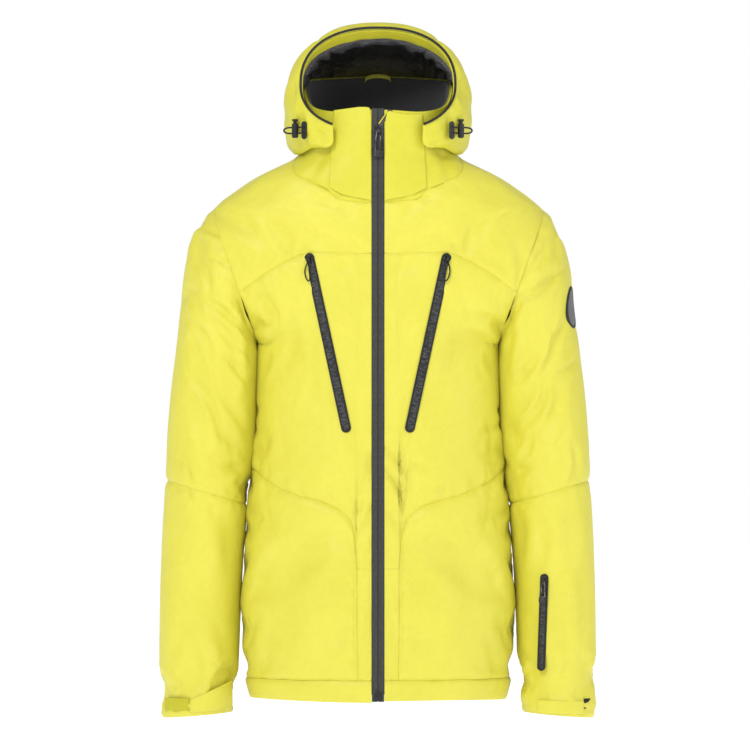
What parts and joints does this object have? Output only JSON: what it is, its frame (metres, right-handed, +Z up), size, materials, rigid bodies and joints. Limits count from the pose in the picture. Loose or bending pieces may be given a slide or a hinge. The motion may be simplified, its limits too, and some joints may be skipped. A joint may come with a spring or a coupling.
{
  "type": "ski jacket",
  "caption": "Insulated hooded ski jacket with a full-length front zip, two sloping chest pocket zips, a sleeve pocket and strap cuffs",
  "frame": {"origin": "middle of the hanger loop at the centre back of the neck", "axes": "+Z up, -Y out of the front of the jacket, +X towards the wearer's left arm"},
  "size_m": [0.601, 0.315, 0.9613],
  "materials": {
    "shell": "matte coated twill, acid yellow",
    "facing": "matte, shaded yellow facing",
    "lining": "glossy black taffeta",
    "collar_fleece": "matte black brushed knit",
    "wadding": "white polyester wadding",
    "zip_tape": "water-repellent charcoal tape",
    "trim": "black braid and binding",
    "trim_plastic": "moulded black plastic",
    "slider_metal": "black lacquered zinc",
    "spring_steel": "bright wire",
    "badge": "matte moulded patch"
  },
  "bodies": {
    "jacket_body": {"front_yoke_left": "shell", "front_yoke_right": "shell", "chest_panel_left": "shell", "chest_panel_right": "shell", "lower_front_left": "shell", "lower_front_right": "shell", "back_yoke": "shell", "back_panel": "shell", "hem_band": "shell", "hem_drawcord": "trim", "collar_shell": "shell", "collar_lining": "collar_fleece", "collar_tab_left": "shell", "collar_tab_right": "shell", "hanger_loop": "shell", "body_lining": "lining", "body_wadding": "wadding", "storm_flap": "trim", "zip_tape_left": "zip_tape", "zip_tape_right": "zip_tape", "zip_coil": "trim_plastic", "zip_box": "trim_plastic", "chest_zip_left": "zip_tape", "chest_zip_right": "zip_tape", "pocket_bags": "lining"},
    "main_slider": {"main_slider": "slider_metal"},
    "main_puller": {"main_puller": "trim"},
    "chest_slider_left": {"chest_slider_left": "slider_metal"},
    "chest_puller_left": {"chest_puller_left": "trim"},
    "chest_slider_right": {"chest_slider_right": "slider_metal"},
    "chest_puller_right": {"chest_puller_right": "trim"},
    "hood": {"hood_centre": "shell", "hood_side_left": "shell", "hood_side_right": "shell", "hood_brim": "facing", "hood_lining": "lining", "hood_piping": "trim", "hood_cord_left": "trim", "hood_cord_right": "trim", "eyelet_patches": "trim_plastic", "cord_lock_left": "trim_plastic", "cord_lock_right": "trim_plastic", "lock_springs": "spring_steel"},
    "lock_plunger_left": {"lock_plunger_left": "trim_plastic"},
    "lock_plunger_right": {"lock_plunger_right": "trim_plastic"},
    "sleeve_left": {"sleeve_upper_left": "shell", "sleeve_lower_left": "shell", "sleeve_lining_left": "lining", "sleeve_badge": "badge", "sleeve_zip": "zip_tape", "hook_patch_left": "trim"},
    "sleeve_right": {"sleeve_upper_right": "shell", "sleeve_lower_right": "shell", "sleeve_lining_right": "lining", "hook_patch_right": "shell"},
    "sleeve_zip_slider": {"sleeve_zip_slider": "slider_metal"},
    "sleeve_zip_puller": {"sleeve_zip_puller": "trim"},
    "cuff_strap_left": {"cuff_strap_left": "shell"},
    "cuff_strap_right": {"cuff_strap_right": "shell"}
  },
  "joints": [
    {"name": "main_zip_slide", "type": "slide", "parent": "jacket_body", "child": "main_slider", "axis": [0, -0.0669, -0.9978], "range_m": [0, 0.745]},
    {"name": "main_puller_swing", "type": "hinge", "parent": "main_slider", "child": "main_puller", "pos_m": [0, -0.18682, -0.08667], "axis": [1, 0, 0], "range_deg": [-120, 0]},
    {"name": "chest_zip_slide_left", "type": "slide", "parent": "jacket_body", "child": "chest_slider_left", "axis": [-0.2103, -0.0716, -0.975], "range_m": [0, 0.215]},
    {"name": "chest_puller_swing_left", "type": "hinge", "parent": "chest_slider_left", "child": "chest_puller_left", "pos_m": [0.09539, -0.19736, -0.26353], "axis": [0.9494, 0.2231, -0.2212], "range_deg": [-110, 0]},
    {"name": "chest_zip_slide_right", "type": "slide", "parent": "jacket_body", "child": "chest_slider_right", "axis": [0.2103, -0.0716, -0.975], "range_m": [0, 0.215]},
    {"name": "chest_puller_swing_right", "type": "hinge", "parent": "chest_slider_right", "child": "chest_puller_right", "pos_m": [-0.09539, -0.19736, -0.26353], "axis": [0.9494, -0.2231, 0.2212], "range_deg": [-110, 0]},
    {"name": "shoulder_left", "type": "hinge", "parent": "jacket_body", "child": "sleeve_left", "pos_m": [0.2327, -0.08, -0.1963], "axis": [0, -1, 0], "range_deg": [0, 45]},
    {"name": "shoulder_right", "type": "hinge", "parent": "jacket_body", "child": "sleeve_right", "pos_m": [-0.2327, -0.08, -0.1963], "axis": [0, 1, 0], "range_deg": [0, 45]},
    {"name": "sleeve_zip_slide", "type": "slide", "parent": "sleeve_left", "child": "sleeve_zip_slider", "axis": [-0.0334, 0.0645, -0.9974], "range_m": [0, 0.1]},
    {"name": "sleeve_puller_swing", "type": "hinge", "parent": "sleeve_zip_slider", "child": "sleeve_zip_puller", "pos_m": [0.22824, -0.15781, -0.70872], "axis": [0.9607, -0.273, -0.0498], "range_deg": [-110, 0]},
    {"name": "cuff_strap_swing_left", "type": "hinge", "parent": "sleeve_left", "child": "cuff_strap_left", "pos_m": [0.22152, -0.13968, -0.87987], "axis": [0, 0, -1], "range_deg": [0, 100]},
    {"name": "cuff_strap_swing_right", "type": "hinge", "parent": "sleeve_right", "child": "cuff_strap_right", "pos_m": [-0.2026, -0.11712, -0.86869], "axis": [0, 0, 1], "range_deg": [0, 70]},
    {"name": "hood_fold", "type": "hinge", "parent": "jacket_body", "child": "hood", "pos_m": [0, 0.03, -0.112], "axis": [-1, 0, 0], "range_deg": [0, 75]},
    {"name": "lock_press_left", "type": "slide", "parent": "hood", "child": "lock_plunger_left", "axis": [0, 0, -1], "range_m": [0, 0.003], "stiffness_N_per_m": 300},
    {"name": "lock_press_right", "type": "slide", "parent": "hood", "child": "lock_plunger_right", "axis": [0, 0, -1], "range_m": [0, 0.003], "stiffness_N_per_m": 300}
  ]
}
